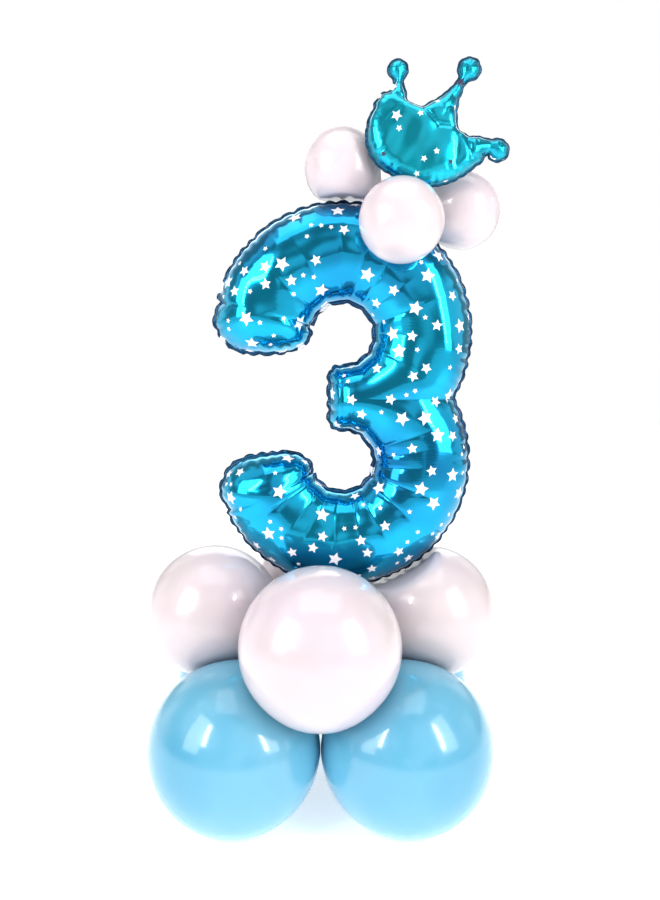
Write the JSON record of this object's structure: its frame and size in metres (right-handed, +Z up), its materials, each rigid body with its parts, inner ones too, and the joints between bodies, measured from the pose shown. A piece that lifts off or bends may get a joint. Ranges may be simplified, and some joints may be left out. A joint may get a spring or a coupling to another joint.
{
  "type": "foil number balloon",
  "caption": "Free-standing column: foil figure with a starry skin, nested in round latex balloons on a ring of larger ones, topped by mini balloons and a leaning foil crown.",
  "frame": {"origin": "on the floor under the middle of the whole column's outline", "axes": "+Z up the column; -Y towards the front, where the figure reads the right way round; +X to the right of someone facing it"},
  "size_m": [0.64, 0.662, 1.2933],
  "materials": {
    "blue_latex": "glossy",
    "pearl_latex": "pearl",
    "figure_foil": "mirror-bright metallised film with printed stars",
    "crown_foil": "satin metallised film with small printed stars",
    "valve_film": "clear film",
    "ribbon": "satin ribbon",
    "glue": "clear tacky dot"
  },
  "bodies": {
    "hub": {"base_ribbon": "ribbon", "blue_knots": "blue_latex", "white_knots": "pearl_latex"},
    "blue_front_left": {"blue_balloon_front_left": "blue_latex"},
    "blue_front_right": {"blue_balloon_front_right": "blue_latex"},
    "blue_back_left": {"blue_balloon_back_left": "blue_latex"},
    "blue_back_right": {"blue_balloon_back_right": "blue_latex"},
    "white_front": {"white_balloon_front": "pearl_latex"},
    "white_right": {"white_balloon_right": "pearl_latex"},
    "white_back": {"white_balloon_back": "pearl_latex"},
    "white_left": {"white_balloon_left": "pearl_latex"},
    "figure_tie": {"figure_tie_ribbon": "ribbon"},
    "figure": {"figure_front_film": "figure_foil", "figure_back_film": "figure_foil", "figure_valve": "valve_film", "mini_knots": "pearl_latex", "topper_ribbon": "ribbon", "nest_glue_dots": "glue", "topper_glue_dots": "glue"},
    "mini_front": {"mini_balloon_front": "pearl_latex"},
    "mini_right": {"mini_balloon_right": "pearl_latex"},
    "mini_back": {"mini_balloon_back": "pearl_latex"},
    "mini_left": {"mini_balloon_left": "pearl_latex"},
    "crown": {"crown_front_film": "crown_foil", "crown_back_film": "crown_foil", "crown_valve": "valve_film", "crown_tail": "crown_foil"}
  },
  "joints": [
    {"name": "pull_blue_front_left", "type": "slide", "parent": "hub", "child": "blue_front_left", "axis": [-0.7071, -0.7071, 0], "range_m": [0, 0.02], "stiffness_N_per_m": 60},
    {"name": "pull_blue_front_right", "type": "slide", "parent": "hub", "child": "blue_front_right", "axis": [0.7071, -0.7071, 0], "range_m": [0, 0.02], "stiffness_N_per_m": 60},
    {"name": "pull_blue_back_left", "type": "slide", "parent": "hub", "child": "blue_back_left", "axis": [-0.7071, 0.7071, 0], "range_m": [0, 0.02], "stiffness_N_per_m": 60},
    {"name": "pull_blue_back_right", "type": "slide", "parent": "hub", "child": "blue_back_right", "axis": [0.7071, 0.7071, 0], "range_m": [0, 0.02], "stiffness_N_per_m": 60},
    {"name": "pull_white_front", "type": "slide", "parent": "hub", "child": "white_front", "axis": [0, -1, 0], "range_m": [0, 0.02], "stiffness_N_per_m": 60},
    {"name": "pull_white_right", "type": "slide", "parent": "hub", "child": "white_right", "axis": [1, 0, 0], "range_m": [0, 0.02], "stiffness_N_per_m": 60},
    {"name": "pull_white_back", "type": "slide", "parent": "hub", "child": "white_back", "axis": [0, 1, 0], "range_m": [0, 0.02], "stiffness_N_per_m": 60},
    {"name": "pull_white_left", "type": "slide", "parent": "hub", "child": "white_left", "axis": [-1, 0, 0], "range_m": [0, 0.02], "stiffness_N_per_m": 60},
    {"name": "figure_turn", "type": "hinge", "parent": "hub", "child": "figure_tie", "pos_m": [-0.006, 0, 0.364], "axis": [0, 0, 1], "range_deg": [-3.5, 3.5], "stiffness_Nm_per_rad": 1.5},
    {"name": "figure_nod", "type": "hinge", "parent": "figure_tie", "child": "figure", "pos_m": [-0.006, 0, 0.364], "axis": [1, 0, 0], "range_deg": [-2, 2], "stiffness_Nm_per_rad": 6},
    {"name": "pull_mini_front", "type": "slide", "parent": "figure", "child": "mini_front", "axis": [-0.1121, -0.9397, -0.3232], "range_m": [0, 0.012], "stiffness_N_per_m": 25},
    {"name": "pull_mini_right", "type": "slide", "parent": "figure", "child": "mini_right", "axis": [0.9901, 0.1351, -0.0394], "range_m": [0, 0.012], "stiffness_N_per_m": 25},
    {"name": "pull_mini_back", "type": "slide", "parent": "figure", "child": "mini_back", "axis": [-0.1121, 0.9397, -0.3232], "range_m": [0, 0.012], "stiffness_N_per_m": 25},
    {"name": "pull_mini_left", "type": "slide", "parent": "figure", "child": "mini_left", "axis": [-0.8568, -0.0315, 0.5146], "range_m": [0, 0.012], "stiffness_N_per_m": 25},
    {"name": "crown_sway", "type": "hinge", "parent": "figure", "child": "crown", "pos_m": [0.12278, -0.07, 1.06981], "axis": [0, 1, 0], "range_deg": [-2.5, 2.5], "stiffness_Nm_per_rad": 0.4}
  ]
}
